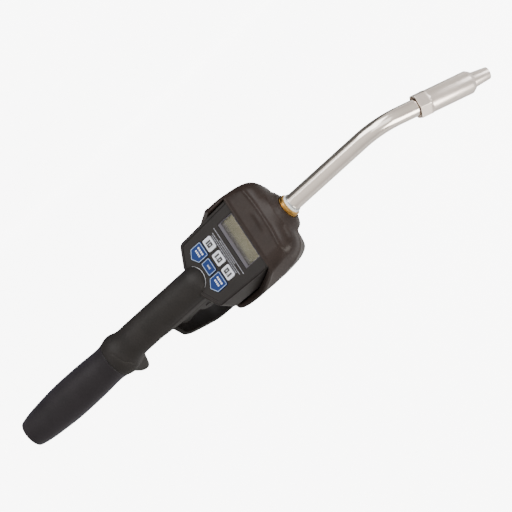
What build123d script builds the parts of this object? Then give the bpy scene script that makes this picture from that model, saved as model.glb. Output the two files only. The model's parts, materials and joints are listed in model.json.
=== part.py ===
from build123d import *
import math
import os

# Hand-held metered oil dispenser: hose swivel, grip with trigger valve, gear meter with a keypad and
# display, bent extension tube and a non-drip nozzle.
# Millimetres. The origin is the mouth of the hose inlet, +X runs along the grip to the nozzle and the
# display faces +Z.

# ---- driving dimensions -------------------------------------------------------------------------

RUN_GAP = 0.06            # radial clearance of a running fit
SEAT_GAP = 0.05           # clearance between pieces that are fastened together

# hose inlet and swivel, all on the X axis
NPT_DRILL_R = 9.13        # tap-drill radius of a 1/2-14 NPT thread
NPT_DEPTH = 17.0
SWIVEL_R = 12.2
SWIVEL_END_X = 30.0
SPIGOT_R = 8.0
SPIGOT_END_X = 58.0
UNION_X = 31.0
UNION_THREAD_X = 66.0
UNION_THREAD_R = 9.45
BOOT_END_X = 99.0
BOOT_MOUTH_R = 11.2
BOOT_BORE_R = 13.0
SEAL_XS = (44.0, 49.0)
CLIP_X = 38.0

# valve body and grip
BODY_START_X = 66.2
INLET_BODY_R = 12.6
GRIP_Z = 4.4
GRIP_R = 15.6
GRIP_BORE_R = 12.5
BODY_R = 12.2
DOME_X = 206.7            # centre of the grip's spherical front end
NECK_R = 7.0
NECK_Z = -1.5
NECK_END_X = 228.0
VALVE_X = 181.0           # the valve's vertical axis
VALVE_BORE_R = 6.5
CAP_Z = 14.0
SEAT_Z = 2.6
SEAT_T = 2.0
STEM_R = 2.5
STEM_END_Z = -19.5
POPPET_Z = SEAT_Z + SEAT_T + 0.05
GLAND_R = 5.4

# trigger and its guard
PIVOT_X = 195.0
PIVOT_Z = -19.0
PIN_R = 2.5
TRIGGER_HALF_W = 7.5
EAR_IN_Y = 8.0
EAR_OUT_Y = 13.0
GUARD_W = 28.6
GUARD_T = 3.6
GUARD_TOP_Z = -13.3
GUARD_BOTTOM_Z = -59.8
GUARD_FRONT_X = 205.2
GUARD_SCREW_X = 144.0      # lower screw, under the grip
GUARD_SCREW_YS = (-8.5, 8.5)
GUARD_SCREW_Z = -29.5

# meter case, bezel and keypad
FACE_Z = 12.0             # the bezel's top plane
BEZEL_T = 2.5
GASKET_T = 0.6
CASE_TOP_Z = FACE_Z - BEZEL_T - GASKET_T
CASE_BOTTOM_Z = -34.0
CASE_WALL = 2.6
SIDE_BREAK_Z = -12.0      # below this level the case and the bumper taper inwards
SIDE_TAPER_DEG = 20.0
CASE_REAR_X = 207.5
CASE_FRONT_X = 303.0
KEY_GAP = 0.4
KEY_PROUD = 0.9
KEY_PITCH_Y = 15.9
WHITE_KEY_X = 241.7
BLUE_KEY_X = 229.2
LCD_X = (257.6, 275.6)
LCD_HALF_Y = 24.7
KEY_FOOT_Z = 9.3
BOARD_TOP_Z = 7.4
BEZEL_SCREW_X = 288.0
BEZEL_SCREW_Y = 27.0

# gear meter
GEAR_X = 264.0
GEAR_TEETH = 15
GEAR_MODULE = 1.6
GEAR_CENTRE_Y = 12.05
GEAR_PIN_R = 2.5
CAVITY_Z = -27.0
CHAMBER_TOP_Z = -14.0
COVER_TOP_Z = -10.0
GEAR_BOTTOM_Z = CAVITY_Z + 0.2
GEAR_TOP_Z = CHAMBER_TOP_Z - 0.2
GEAR_POCKET_R = 13.7
SEAL_T = 0.5
COVER_SCREWS = [(x, side * 24.2) for x in (244.5, 284.5) for side in (-1, 1)] + [(284.5, 0), (246.5, 0)]

# outlet, extension tube and nozzle
OUTLET_Z = -7.0
OUTLET_BOSS_R = 13.8
FITTING_THREAD_R = 9.4
FITTING_R = 10.8
FITTING_END_X = 319.5
WASHER_T = 1.8
TUBE_R = 7.94             # 5/8 in tube
TUBE_WALL = 1.2
TUBE_START_X = 298.0
TUBE_BEND_X = 409.6
TUBE_BEND_R = 50.0
TUBE_BEND_DEG = 45.0
TUBE_TAIL = 19.0           # straight length between the bend and the nozzle
TUBE_IN_NOZZLE = 16.0
ADAPTER_R = 8.8
TIP_R = 7.2
NOZZLE_LENGTH = 75.0
NOZZLE_R = 10.7
NOZZLE_HEX_LENGTH = 12.0
NOZZLE_SHOULDER = 54.0

# nose bumper
BUMPER_HALF_Y = 43.5
BUMPER_TOP_Z = 15.0
BUMPER_BOTTOM_Z = -40.5
BUMPER_FRONT_X = 311.5
BUMPER_REAR_X = 208.0

BASE = (Align.CENTER, Align.CENTER, Align.MIN)

os.makedirs("parts", exist_ok=True)


# ---- helpers ------------------------------------------------------------------------------------

def save(shape, name):
    """Write one sub-part as parts/NAME.step."""
    shape.label = name
    export_step(shape, f"parts/{name}.step")


def cyl_x(x0, x1, r, z=0.0, y=0.0):
    """A cylinder along X from x0 to x1."""
    return Plane(origin=(x0, y, z), z_dir=(1, 0, 0)) * Cylinder(r, x1 - x0, align=BASE)


def cyl_y(y0, y1, r, x, z):
    """A cylinder along Y from y0 to y1."""
    return Plane(origin=(x, y0, z), z_dir=(0, 1, 0)) * Cylinder(r, y1 - y0, align=BASE)


def cyl_z(z0, z1, r, x, y=0.0):
    """A cylinder along Z from z0 to z1."""
    return Pos(x, y, z0) * Cylinder(r, z1 - z0, align=BASE)


def block(x0, x1, y0, y1, z0, z1):
    """A box given by its limits."""
    return Pos((x0 + x1) / 2, (y0 + y1) / 2, (z0 + z1) / 2) * Box(x1 - x0, y1 - y0, z1 - z0)


def turned(points, z=0.0):
    """Revolve (x, r) points about the line parallel to X at height z."""
    face = make_face(Polyline(*[(x, 0, z + r) for x, r in points], close=True))
    return revolve(face, Axis((0, 0, z), (1, 0, 0)), 360)


def tapered_body(face, bottom_z, top_z):
    """Plan face as a body that is upright above SIDE_BREAK_Z and tapers inwards below it."""
    upper = extrude(Pos(0, 0, SIDE_BREAK_Z) * face, amount=top_z - SIDE_BREAK_Z)
    lower = extrude(Pos(0, 0, SIDE_BREAK_Z) * Rot(180, 0, 0) * face, amount=SIDE_BREAK_Z - bottom_z,
                    taper=SIDE_TAPER_DEG)
    return upper + lower


def side_plate(edges, half_y):
    """Extrude a closed outline in the XZ plane to both sides of Y = 0."""
    return extrude(make_face(edges), amount=half_y, dir=(0, 1, 0), both=True)


def o_ring_x(x, major, minor, z=0.0):
    """An O-ring whose axis is parallel to X."""
    return Plane(origin=(x, 0, z), z_dir=(1, 0, 0)) * Torus(major, minor)


def cap_screw(length, r, head_r, head_h):
    """A socket cap screw along -Z with the underside of its head at Z = 0."""
    screw = cyl_z(-length, 0, r, 0) + cyl_z(0, head_h, head_r, 0)
    socket = Pos(0, 0, head_h) * extrude(RegularPolygon(head_r * 0.5, 6), amount=-head_h * 0.6)
    return screw - socket


def coil_spring(radius, wire_r, length, turns):
    """A coil spring along +Z from Z = 0 to Z = length, wire included."""
    rise = length - 2 * wire_r
    path = Pos(0, 0, wire_r) * Helix(rise / turns, rise, radius)
    section = Plane(origin=path @ 0, z_dir=path % 0) * Circle(wire_r)
    return sweep(section, path, is_frenet=True)


# ---- hose swivel and boot -----------------------------------------------------------------------

def make_hose_swivel():
    body = turned([(0, NPT_DRILL_R), (0, SWIVEL_R - 1), (1, SWIVEL_R), (SWIVEL_END_X - 1, SWIVEL_R),
                   (SWIVEL_END_X, SWIVEL_R - 1), (SWIVEL_END_X, SPIGOT_R), (SPIGOT_END_X, SPIGOT_R),
                   (SPIGOT_END_X, 5), (NPT_DEPTH, 5), (NPT_DEPTH, NPT_DRILL_R)])
    flats = Plane(origin=(4, 0, 0), z_dir=(1, 0, 0)) * extrude(RegularPolygon(11.3, 6, major_radius=False),
                                                               amount=14)
    body -= cyl_x(4, 18, SWIVEL_R + 1) - flats
    for x in SEAL_XS:
        body -= cyl_x(x - 1.1, x + 1.1, SPIGOT_R + 1) - cyl_x(x - 1.2, x + 1.2, SPIGOT_R - 1.6)
    body -= cyl_x(CLIP_X - 0.6, CLIP_X + 0.6, SPIGOT_R + 1) - cyl_x(CLIP_X - 1, CLIP_X + 1, SPIGOT_R - 0.9)
    return body


def make_swivel_union():
    bore_r = SPIGOT_R + RUN_GAP
    body = turned([(UNION_X, bore_r), (UNION_X, SWIVEL_R - 0.8), (UNION_X + 0.8, SWIVEL_R),
                   (UNION_THREAD_X - 5, SWIVEL_R), (UNION_THREAD_X - 5, 9.0), (UNION_THREAD_X - 3, 9.0),
                   (UNION_THREAD_X - 3, UNION_THREAD_R), (UNION_THREAD_X + 14, UNION_THREAD_R),
                   (UNION_THREAD_X + 14, 6), (SPIGOT_END_X + 1, 6), (SPIGOT_END_X + 1, bore_r)])
    body -= cyl_x(CLIP_X - 0.8, CLIP_X + 0.8, SPIGOT_R + 1.2)
    return body


def make_swivel_clip():
    """Round-wire retaining ring, split at the top, that locks the spigot into the union."""
    ring = o_ring_x(CLIP_X, SPIGOT_R - 0.2, 0.5)
    return ring - block(CLIP_X - 2, CLIP_X + 2, -1.2, 1.2, 0, 12)


def make_swivel_boot():
    outer = Spline((-7.0, 0, 13.2), (2.5, 0, 14.9), (20, 0, 16.7), (41, 0, 17.9), (74, 0, 17.6),
                   (BOOT_END_X, 0, 16.9))
    lip = ThreePointArc((-9.0, 0, BOOT_MOUTH_R), (-8.4, 0, BOOT_MOUTH_R + 1.4), outer @ 0)
    rest = Polyline(outer @ 1, (BOOT_END_X, 0, BOOT_BORE_R), (-0.5, 0, BOOT_BORE_R), (-3, 0, BOOT_MOUTH_R),
                    (-9.0, 0, BOOT_MOUTH_R))
    return revolve(make_face([lip, outer, rest]), Axis.X, 360)


def make_inlet_strainer():
    """Perforated cup that catches dirt ahead of the valve."""
    x0, x1, r, wall = 82.0, 98.0, 7.8, 0.6
    cup = cyl_x(x0, x1, r) - cyl_x(x0 - 1, x1 - wall, r - wall)
    for column in range(4):
        for row in range(8):
            turn = 22.5 * (2 * row + column % 2)
            hole = Pos(x0 + 3 + 3.2 * column, 0, 0) * Cylinder(0.9, 10, align=BASE)
            cup -= hole.rotate(Axis.X, turn)
    return cup


# ---- valve and grip -----------------------------------------------------------------------------

def grip_solid(extra=0.0):
    """Outside of the collar, grip and domed front end, grown by extra."""
    stations = [(BOOT_END_X + 0.2, 17.3, 0.0), (102.5, 18.9, 0.0), (106.5, 19.6, 0.4), (111.5, 18.9, 1.4),
                (117.5, 17.1, 3.0), (124.0, 16.0, 4.1), (132.0, GRIP_R, GRIP_Z)]
    rings = [Plane(origin=(x, 0, z), z_dir=(1, 0, 0)) * Circle(r + extra) for x, r, z in stations]
    collar = loft(rings)
    return collar + cyl_x(132.0, DOME_X, GRIP_R + extra, GRIP_Z) + dome(GRIP_R + extra)


def dome(r):
    """Front half of a sphere on the grip's axis."""
    ball = Pos(DOME_X, 0, GRIP_Z) * Sphere(r)
    return ball & block(DOME_X, DOME_X + 40, -30, 30, -30, 40)


def ear_block(grow=0.0):
    """Both trigger ears as solid blocks, from inside the grip down past the pivot."""
    ears = []
    for side in (-1, 1):
        inner, outer = side * (EAR_IN_Y - grow), side * (EAR_OUT_Y + grow)
        y0, y1 = min(inner, outer), max(inner, outer)
        ear = block(187.5 - grow, 204.0 + grow, y0, y1, PIVOT_Z, 2.0)
        ear += cyl_y(y0, y1, 7.5 + grow, PIVOT_X, PIVOT_Z)
        ears.append(ear)
    return ears[0] + ears[1]


def make_valve_body():
    body = cyl_x(BODY_START_X, 112, INLET_BODY_R) + cyl_x(104, DOME_X - 1, BODY_R, GRIP_Z)
    body += cyl_x(200, NECK_END_X, NECK_R, NECK_Z)
    body += ear_block()
    body -= cyl_y(-20, 20, PIN_R + 0.02, PIVOT_X, PIVOT_Z)
    body -= cyl_x(BODY_START_X - 1, 82, UNION_THREAD_R + SEAT_GAP)
    body -= cyl_x(81, 100, 8.0)
    body -= cyl_x(98, VALVE_X, 5.0, 5.5)
    body -= cyl_z(SEAT_Z, 25, VALVE_BORE_R, VALVE_X)
    body -= cyl_z(NECK_Z, SEAT_Z + 1, 4.6, VALVE_X)
    body -= cyl_x(VALVE_X, NECK_END_X + 1, 3.8, NECK_Z)
    body -= cyl_z(-12, NECK_Z, STEM_R + 0.4, VALVE_X)
    body -= cyl_z(-12, -5.6, GLAND_R + SEAT_GAP, VALVE_X)
    body -= cyl_z(-12, -4.0, 1.6, GUARD_SCREW_X)
    return body


def make_valve_seat():
    """Hard ring pressed into the bore, with a conical seat on top."""
    ring = cyl_z(SEAT_Z, SEAT_Z + SEAT_T, VALVE_BORE_R - SEAT_GAP, VALVE_X)
    ring -= cyl_z(SEAT_Z - 1, SEAT_Z + SEAT_T + 1, 4.0, VALVE_X)
    return ring


def make_valve_stem():
    """Poppet head on a round stem with a domed foot that the trigger lifts."""
    stem = cyl_z(STEM_END_Z + STEM_R, POPPET_Z, STEM_R, VALVE_X)
    stem += Pos(VALVE_X, 0, STEM_END_Z + STEM_R) * Sphere(STEM_R)
    head = cyl_z(POPPET_Z, POPPET_Z + 2.2, 5.3, VALVE_X)
    guide = cyl_z(POPPET_Z + 2.2, POPPET_Z + 4.2, 2.2, VALVE_X)
    return stem + head + guide


def make_stem_gland():
    """Hexagon packing nut round the stem."""
    nut = cyl_z(-9.2, -5.6, GLAND_R, VALVE_X)
    nut += Pos(VALVE_X, 0, -12.6) * extrude(RegularPolygon(6.0, 6, major_radius=False), amount=3.4)
    nut -= cyl_z(-14, 0, STEM_R + RUN_GAP, VALVE_X)
    nut -= cyl_z(-8.0, 0, 4.3, VALVE_X)
    return nut


def make_grip_shell():
    shell = grip_solid() + finger_hook()
    shell -= cyl_x(BOOT_END_X - 1, 113, INLET_BODY_R + SEAT_GAP)
    shell -= cyl_x(103.5, DOME_X, GRIP_BORE_R, GRIP_Z)
    shell -= dome(GRIP_BORE_R)
    shell -= cyl_x(200, NECK_END_X, NECK_R + SEAT_GAP, NECK_Z)
    shell -= ear_block(0.15)
    shell -= block(187.3, 204.2, -EAR_IN_Y - 1, EAR_IN_Y + 1, -20, -2)
    shell -= cyl_z(-16, -5, 7.4, VALVE_X)
    shell -= cyl_z(-16, -5, 2.0, GUARD_SCREW_X)
    return shell


def finger_hook():
    """Stop under the collar that rests on the index finger."""
    lines = FilletPolyline((101, 0, -4), (99.6, 0, -17), (98.8, 0, -35), (104.5, 0, -39), (111.5, 0, -36.5),
                           (121, 0, -17), (128, 0, -4), radius=4.0)
    closing = Line(lines @ 1, lines @ 0)
    hook = side_plate([lines, closing], 10.5)
    long_edges = [e for e in hook.edges() if abs(abs(e.center().Y) - 10.5) < 0.01 and e.center().Z < -8]
    return fillet(long_edges, 3.2)


# ---- trigger and guard --------------------------------------------------------------------------

def make_trigger():
    """Curved lever that lifts the valve stem."""
    upper = FilletPolyline((PIVOT_X, 0, PIVOT_Z + 6), (188.5, 0, -19.9), (172, 0, -19.9), (161.5, 0, -25),
                           radius=3.0)
    lower = FilletPolyline((161.5, 0, -25), (162.5, 0, -34.0), (172, 0, -30.0), (184, 0, -29.0),
                           (193, 0, -32.0), (201, 0, -27.0), (PIVOT_X + 6, 0, PIVOT_Z), radius=3.0)
    close_up = Line(lower @ 1, upper @ 0)
    lever = side_plate([upper, lower, close_up], TRIGGER_HALF_W)
    lever += cyl_y(-TRIGGER_HALF_W, TRIGGER_HALF_W, 6.0, PIVOT_X, PIVOT_Z)
    lever -= cyl_y(-20, 20, PIN_R + RUN_GAP, PIVOT_X, PIVOT_Z)
    return lever


def make_trigger_pin():
    pin = cyl_y(-EAR_OUT_Y - 0.7, EAR_OUT_Y + 0.7, PIN_R, PIVOT_X, PIVOT_Z)
    clip = cyl_y(EAR_OUT_Y + 0.1, EAR_OUT_Y + 0.9, 3.4, PIVOT_X, PIVOT_Z)
    return fillet(pin.edges().group_by(Axis.Y)[0], 0.6) + clip


def guard_path():
    """Centre line of the guard's strap, from under the grip to the case's rear face."""
    return FilletPolyline((138.5, 0, GUARD_TOP_Z), (154.0, 0, GUARD_TOP_Z), (154.6, 0, -39.5),
                          (178.0, 0, -58.6), (190.0, 0, GUARD_BOTTOM_Z), (GUARD_FRONT_X, 0, GUARD_BOTTOM_Z),
                          (GUARD_FRONT_X, 0, -24.5), radius=[5, 16, 20, 20, 9])


def make_trigger_guard():
    path = guard_path()
    start = Plane(origin=path @ 0, x_dir=(0, 1, 0), z_dir=path % 0)
    section = start * RectangleRounded(GUARD_W, GUARD_T, 1.5)
    strap = sweep(section, path)
    for side in (-1, 1):
        waist = Polyline((0, side * 7, -10), (0, side * 20, -10), (0, side * 20, -34),
                         (0, side * GUARD_W / 2, -34), (0, side * 7, -20), close=True)
        strap -= extrude(Pos(130, 0, 0) * make_face(waist), amount=36, dir=(1, 0, 0))
    strap -= cyl_z(-20, -8, 1.7, GUARD_SCREW_X)
    for y in GUARD_SCREW_YS:
        strap -= cyl_x(200, 210, 1.7, GUARD_SCREW_Z, y)
    return strap


def make_guard_screws():
    low = Pos(GUARD_SCREW_X, 0, GUARD_TOP_Z - GUARD_T / 2) * Rot(180, 0, 0) * cap_screw(9.5, 1.5, 3.0, 2.0)
    screws = [low]
    for y in GUARD_SCREW_YS:
        place = Plane(origin=(GUARD_FRONT_X - GUARD_T / 2, y, GUARD_SCREW_Z), z_dir=(-1, 0, 0))
        screws.append(place * cap_screw(5.8, 1.5, 2.6, 1.4))
    return Compound(children=screws)


# ---- meter case and bezel -----------------------------------------------------------------------

def case_face(grow=0.0):
    """Plan outline of the meter case, in the XY plane, offset by grow."""
    corner_x, corner_y = 217.0, 34.6
    half = [(CASE_REAR_X, 0), (CASE_REAR_X, 15.5), (corner_x, corner_y), (276, 37.4), (295, 37.0),
            (301, 26), (CASE_FRONT_X, 16), (CASE_FRONT_X, 0)]
    other = [(x, -y) for x, y in reversed(half) if y > 0]
    face = make_face(Polyline(*half, *other, close=True))
    face = fillet([v for v in face.vertices() if v.X < corner_x + 1 and abs(v.Y) > 30], 6.0)
    face = fillet([v for v in face.vertices() if v.X > 290 and abs(v.Y) > 25], 12.0)
    if grow:
        face = offset(face, grow, kind=Kind.ARC)
    return face


def dome_socket():
    """Space in the case and bezel that the grip's dome fills."""
    return dome(GRIP_R + 0.15) + cyl_x(DOME_X - 20, DOME_X, GRIP_R + 0.15, GRIP_Z)


def make_meter_case():
    outer = fillet(outer_volume().edges().group_by(Axis.Z)[0], 5.0)
    outer += block(CASE_REAR_X, 222, -GUARD_W / 2, GUARD_W / 2, CASE_BOTTOM_Z + 1, -20)
    inner = tapered_body(case_face(-CASE_WALL), CASE_BOTTOM_Z + CASE_WALL, CASE_TOP_Z + 10)
    socket_wall = dome(GRIP_R + 2.4) & block(DOME_X, 260, -40, 40, CASE_BOTTOM_Z, CASE_TOP_Z)
    case = outer - inner + (socket_wall & outer_volume())
    case -= dome_socket()
    case -= cyl_x(200, NECK_END_X, NECK_R + SEAT_GAP, NECK_Z)
    case -= cyl_x(290, 310, OUTLET_BOSS_R + 0.1, OUTLET_Z)
    for y in GUARD_SCREW_YS:
        case -= cyl_x(200, 220, 1.55, GUARD_SCREW_Z, y)
    return case


def outer_volume():
    """The case's outside, without its bottom rounding."""
    return tapered_body(case_face(), CASE_BOTTOM_Z, CASE_TOP_Z)


def make_bezel_gasket():
    ring = extrude(Pos(0, 0, CASE_TOP_Z) * case_face(-0.3), amount=GASKET_T)
    ring -= extrude(Pos(0, 0, CASE_TOP_Z - 1) * case_face(-CASE_WALL + 0.3), amount=GASKET_T + 2)
    return ring - dome_socket()


def key_outlines():
    """Plan outline of each key, by name."""
    white = RectangleRounded(9.3, 12.6, 1.6)
    centre = RectangleRounded(9.5, 13.9, 1.6)
    pentagon = make_face(Polyline((6.0, 7.45), (-5.6, 7.45), (-10.4, 0), (-5.6, -7.45), (6.0, -7.45),
                                  close=True))
    pentagon = fillet(pentagon.vertices(), 1.3)
    return {"key_tens": Pos(WHITE_KEY_X, KEY_PITCH_Y, 0) * white,
            "key_units": Pos(WHITE_KEY_X, 0, 0) * white,
            "key_tenths": Pos(WHITE_KEY_X, -KEY_PITCH_Y, 0) * white,
            "key_mode": Pos(BLUE_KEY_X, KEY_PITCH_Y + 0.5, 0) * pentagon,
            "key_total": Pos(BLUE_KEY_X, 0, 0) * centre,
            "key_reset": Pos(BLUE_KEY_X, -KEY_PITCH_Y - 0.5, 0) * pentagon}


def make_key(outline):
    """Key cap with a rounded top edge, standing just clear of its dome on the mat."""
    cap = extrude(Pos(0, 0, KEY_FOOT_Z) * outline, amount=FACE_Z + KEY_PROUD - KEY_FOOT_Z)
    top_edges = cap.edges().group_by(Axis.Z)[-1]
    return fillet(top_edges, 0.5)


def make_bezel():
    plate = extrude(Pos(0, 0, FACE_Z - BEZEL_T) * case_face(0.2), amount=BEZEL_T)
    plate = fillet(plate.edges().group_by(Axis.Z)[-1], 1.0)
    rim = extrude(Pos(0, 0, FACE_Z) * case_face(-0.9), amount=0.7)
    rim -= extrude(Pos(0, 0, FACE_Z - 1) * case_face(-2.9), amount=3)
    rim -= block(LCD_X[1] - 0.6, 320, -60, 60, FACE_Z, FACE_Z + 5)
    plate += rim
    for outline in key_outlines().values():
        plate -= extrude(Pos(0, 0, FACE_Z - BEZEL_T - 1) * offset(outline, KEY_GAP), amount=BEZEL_T + 2)
    plate -= block(*LCD_X, -LCD_HALF_Y, LCD_HALF_Y, 0, 20)
    plate -= dome_socket()
    for y in (-BEZEL_SCREW_Y, BEZEL_SCREW_Y):
        plate -= cyl_z(0, 20, 1.7, BEZEL_SCREW_X, y)
        plate -= cyl_z(FACE_Z - 1.4, 20, 3.2, BEZEL_SCREW_X, y)
    return plate


def make_bezel_screws():
    screws = [Pos(BEZEL_SCREW_X, y * BEZEL_SCREW_Y, FACE_Z - 1.4) * cap_screw(8.0, 1.5, 2.8, 1.3)
              for y in (-1, 1)]
    return Compound(children=screws)


def make_lcd_window():
    gap = 0.1
    return block(LCD_X[0] + gap, LCD_X[1] - gap, -LCD_HALF_Y + gap, LCD_HALF_Y - gap, 9.8, 11.2)


def make_lcd_module():
    """Display glass in its frame, under the window."""
    glass = block(LCD_X[0] - 1.5, LCD_X[1] + 1.5, -LCD_HALF_Y - 1.5, LCD_HALF_Y + 1.5, BOARD_TOP_Z, 9.3)
    return glass


def make_circuit_board():
    board = block(NECK_END_X, 282, -30.5, 30.5, BOARD_TOP_Z - 1.4, BOARD_TOP_Z)
    for y in (-24, 24):
        board -= cyl_z(0, 20, 1.5, 279, y)
    chips = block(249, 255, -4, 4, BOARD_TOP_Z - 2.6, BOARD_TOP_Z - 1.4)
    return board + chips


def make_keypad_mat():
    """Rubber sheet with one dome under each key."""
    mat = block(219.5, 248, -25.5, 25.5, BOARD_TOP_Z, BOARD_TOP_Z + 0.8)
    for outline in key_outlines().values():
        centre = outline.center()
        mat += cyl_z(BOARD_TOP_Z + 0.8, BOARD_TOP_Z + 1.1, 2.6, centre.X, centre.Y)
    return mat - dome(GRIP_R + 2.4 + 0.2)


def make_battery_cells():
    cells = [cyl_y(-22.2, 22.2, 5.2, 248.5 + 11.2 * i, -1.0) + cyl_y(22.2, 23.0, 1.9, 248.5 + 11.2 * i, -1.0)
             for i in range(3)]
    return Compound(children=cells)


# ---- gear meter ---------------------------------------------------------------------------------

def gear_face(turn_deg):
    """Involute spur gear outline, turned by turn_deg."""
    pressure = math.radians(25)
    pitch_r = GEAR_TEETH * GEAR_MODULE / 2
    base_r = pitch_r * math.cos(pressure)
    tip_r = pitch_r + 0.85 * GEAR_MODULE
    root_r = pitch_r - 1.1 * GEAR_MODULE
    backlash = 0.3
    half_pitch_angle = math.pi / (2 * GEAR_TEETH) - backlash / (2 * pitch_r)

    def involute(angle):
        return math.tan(angle) - angle

    def half_angle(r):
        return half_pitch_angle + involute(pressure) - involute(math.acos(min(1.0, base_r / r)))

    radii = [root_r, base_r, (base_r + pitch_r) / 2, pitch_r, (pitch_r + tip_r) / 2, tip_r]
    flank = [(r, half_angle(max(r, base_r))) for r in radii]
    points = []
    for tooth in range(GEAR_TEETH):
        mid = 2 * math.pi * tooth / GEAR_TEETH + math.radians(turn_deg)
        for r, a in flank:
            points.append((r * math.cos(mid - a), r * math.sin(mid - a)))
        for r, a in reversed(flank):
            points.append((r * math.cos(mid + a), r * math.sin(mid + a)))
    return make_face(Polyline(*points, close=True))


def make_meter_gear(side):
    """One of the two meshing gears; side is +1 or -1 along Y."""
    half_tooth = 180 / GEAR_TEETH
    turn = -90 if side > 0 else 90 + half_tooth
    gear = extrude(gear_face(turn), amount=GEAR_TOP_Z - GEAR_BOTTOM_Z)
    gear -= Cylinder(GEAR_PIN_R + RUN_GAP, 60)
    for i in range(4):
        gear -= Rot(0, 0, 45 + 90 * i) * cyl_z(GEAR_TOP_Z - GEAR_BOTTOM_Z - 3, 30, 1.6, 6.5)
    return Pos(GEAR_X, side * GEAR_CENTRE_Y, GEAR_BOTTOM_Z) * gear


def make_magnets(side):
    """Two small magnets in a gear's face; the sensor on the board counts them."""
    depth = 2.6
    magnets = [Pos(GEAR_X, side * GEAR_CENTRE_Y, GEAR_TOP_Z - depth - 0.2) * Rot(0, 0, 45 + 180 * i)
               * cyl_z(0, depth, 1.55, 6.5) for i in range(2)]
    return Compound(children=magnets)


def make_gear_chamber():
    """Machined block with the two gear pockets, the inlet boss and the outlet boss."""
    floor_z = CASE_BOTTOM_Z + CASE_WALL + 0.1
    body = block(241.2, 288, -27.2, 27.2, floor_z, CHAMBER_TOP_Z)
    body = chamfer(body.edges().group_by(Axis.Z)[0].filter_by(Axis.X), 5.2)
    body += block(228.3, 242, -20, 20, floor_z, CHAMBER_TOP_Z)
    body += block(280, 295, -12, 12, floor_z + 7, CHAMBER_TOP_Z)
    body += block(228.3, 239.5, -9, 9, CHAMBER_TOP_Z, 5.4)
    body += cyl_x(288.0, 303.2, OUTLET_BOSS_R, OUTLET_Z)
    body += block(288.0, 295, -OUTLET_BOSS_R, OUTLET_BOSS_R, CHAMBER_TOP_Z - 1, OUTLET_Z)
    for side in (-1, 1):
        body -= cyl_z(CAVITY_Z, CHAMBER_TOP_Z + 0.01, GEAR_POCKET_R, GEAR_X, side * GEAR_CENTRE_Y)
        body -= cyl_z(CAVITY_Z - 3, CAVITY_Z + 1, GEAR_PIN_R + SEAT_GAP, GEAR_X, side * GEAR_CENTRE_Y)
    body -= cyl_x(228, 236, 3.8, NECK_Z)
    body -= cyl_z(-20.5, NECK_Z, 3.8, 234.5)
    body -= cyl_x(234.5, 256, 3.8, -20.5)
    body -= cyl_x(272, 289.5, 3.8, -20.5)
    body -= cyl_z(-20.5, OUTLET_Z, 3.8, 289.5)
    body -= cyl_x(289.5, 305, 5.5, OUTLET_Z)
    body -= cyl_x(295.5, 305, FITTING_THREAD_R + SEAT_GAP, OUTLET_Z)
    for x, y in COVER_SCREWS:
        body -= cyl_z(CHAMBER_TOP_Z - 9, CHAMBER_TOP_Z + 1, 1.55, x, y)
    return body


def make_chamber_seal():
    """Flat gasket between the chamber block and its cover."""
    low, high = CHAMBER_TOP_Z - 1, CHAMBER_TOP_Z + 2
    sheet = block(241.5, 287.5, -27.0, 27.0, CHAMBER_TOP_Z, CHAMBER_TOP_Z + SEAL_T)
    for side in (-1, 1):
        sheet -= cyl_z(low, high, GEAR_POCKET_R + 0.4, GEAR_X, side * GEAR_CENTRE_Y)
    for x, y in COVER_SCREWS:
        sheet -= cyl_z(low, high, 1.7, x, y)
    return sheet


def make_chamber_cover():
    plate = block(241.2, 287.8, -27.2, 27.2, CHAMBER_TOP_Z + SEAL_T, COVER_TOP_Z)
    for side in (-1, 1):
        plate -= cyl_z(CHAMBER_TOP_Z - 1, CHAMBER_TOP_Z + 2.5, GEAR_PIN_R + SEAT_GAP, GEAR_X,
                       side * GEAR_CENTRE_Y)
    for x, y in COVER_SCREWS:
        plate -= cyl_z(-20, 0, 1.7, x, y)
    return plate


def make_chamber_screws():
    screws = [Pos(x, y, COVER_TOP_Z) * cap_screw(12.0, 1.5, 2.6, 1.8) for x, y in COVER_SCREWS]
    return Compound(children=screws)


def make_gear_pins():
    pins = [cyl_z(CAVITY_Z - 2.8, CHAMBER_TOP_Z + 2.3, GEAR_PIN_R, GEAR_X, side * GEAR_CENTRE_Y)
            for side in (-1, 1)]
    return Compound(children=pins)


# ---- nose bumper --------------------------------------------------------------------------------

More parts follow.
